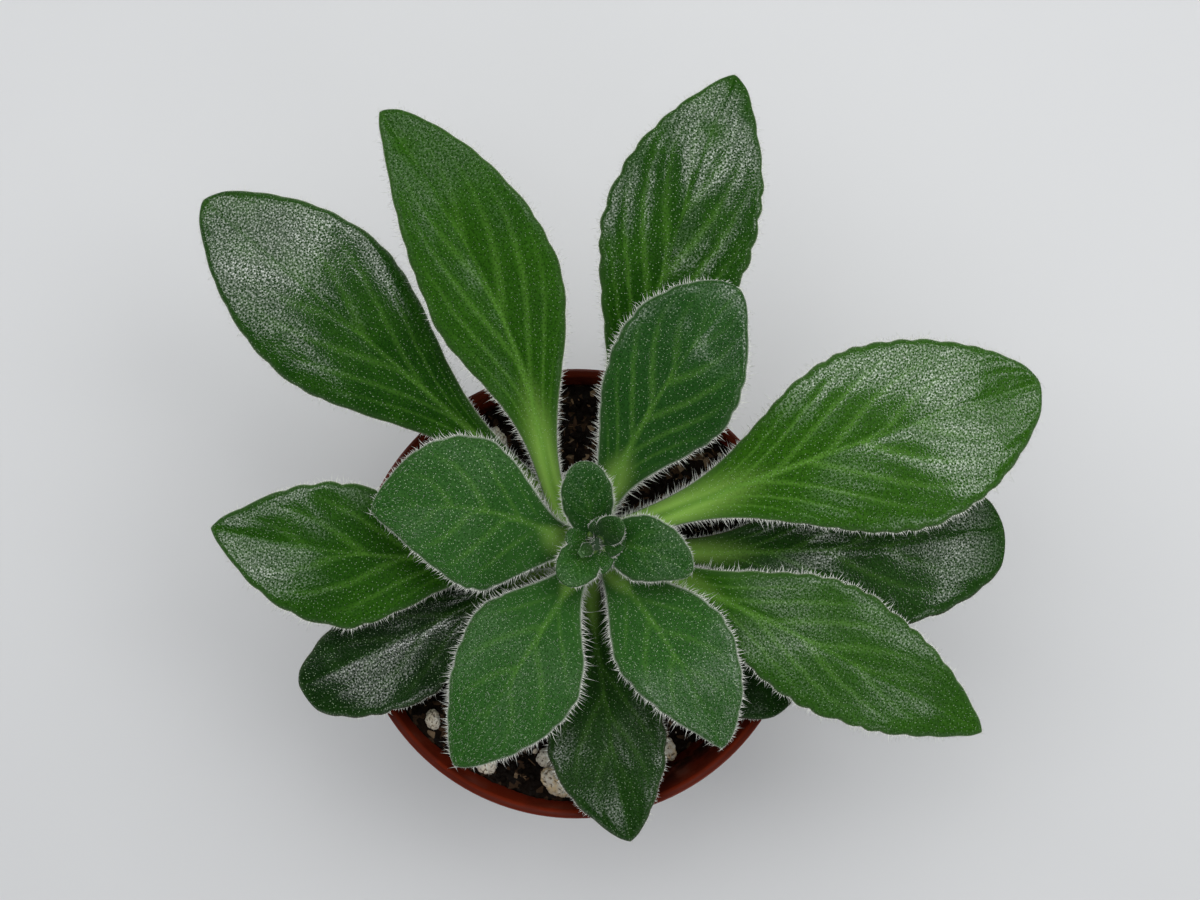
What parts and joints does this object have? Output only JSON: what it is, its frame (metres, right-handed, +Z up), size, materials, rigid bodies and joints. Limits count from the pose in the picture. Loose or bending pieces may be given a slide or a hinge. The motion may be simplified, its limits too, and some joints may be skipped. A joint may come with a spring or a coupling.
{
  "type": "potted primulina",
  "caption": "Small potted primulina: a rosette of oval, softly hairy, scalloped green leaves on a short stem, in dark soil with perlite, in a round thin-walled nursery pot.",
  "frame": {"origin": "centre of the pot's underside, on the surface that the pot stands on", "axes": "+Z up along the pot's axis; +Y towards the two long leaves at the back, +X to their right"},
  "size_m": [0.1581, 0.1463, 0.1051],
  "materials": {
    "pot_plastic": "satin",
    "soil": "rough",
    "perlite": "rough",
    "stem": "hairy",
    "leaf_old": "glossy",
    "leaf_mature": "satin",
    "leaf_young": "softly hairy"
  },
  "bodies": {
    "root": {"pot": "pot_plastic", "soil": "soil", "stem": "stem", "perlite_front_left": "perlite", "perlite_front_round": "perlite", "perlite_front_large": "perlite", "perlite_west": "perlite", "perlite_southeast": "perlite", "perlite_back": "perlite", "perlite_east": "perlite", "perlite_back_right": "perlite", "leaf_low_left": "leaf_old", "leaf_low_front": "leaf_old", "leaf_low_right": "leaf_old", "leaf_low_east": "leaf_old", "leaf_northwest": "leaf_mature", "leaf_north": "leaf_mature", "leaf_west": "leaf_mature", "leaf_southeast": "leaf_mature", "leaf_upper_left": "leaf_mature", "leaf_upper_right": "leaf_mature", "leaf_crown_left": "leaf_young", "leaf_crown_back": "leaf_young", "leaf_crown_front": "leaf_young", "leaf_crown_right": "leaf_young", "spoon_back": "leaf_young", "spoon_right": "leaf_young", "spoon_front": "leaf_young", "heart_right": "leaf_young", "heart_left": "leaf_young"}
  },
  "joints": []
}
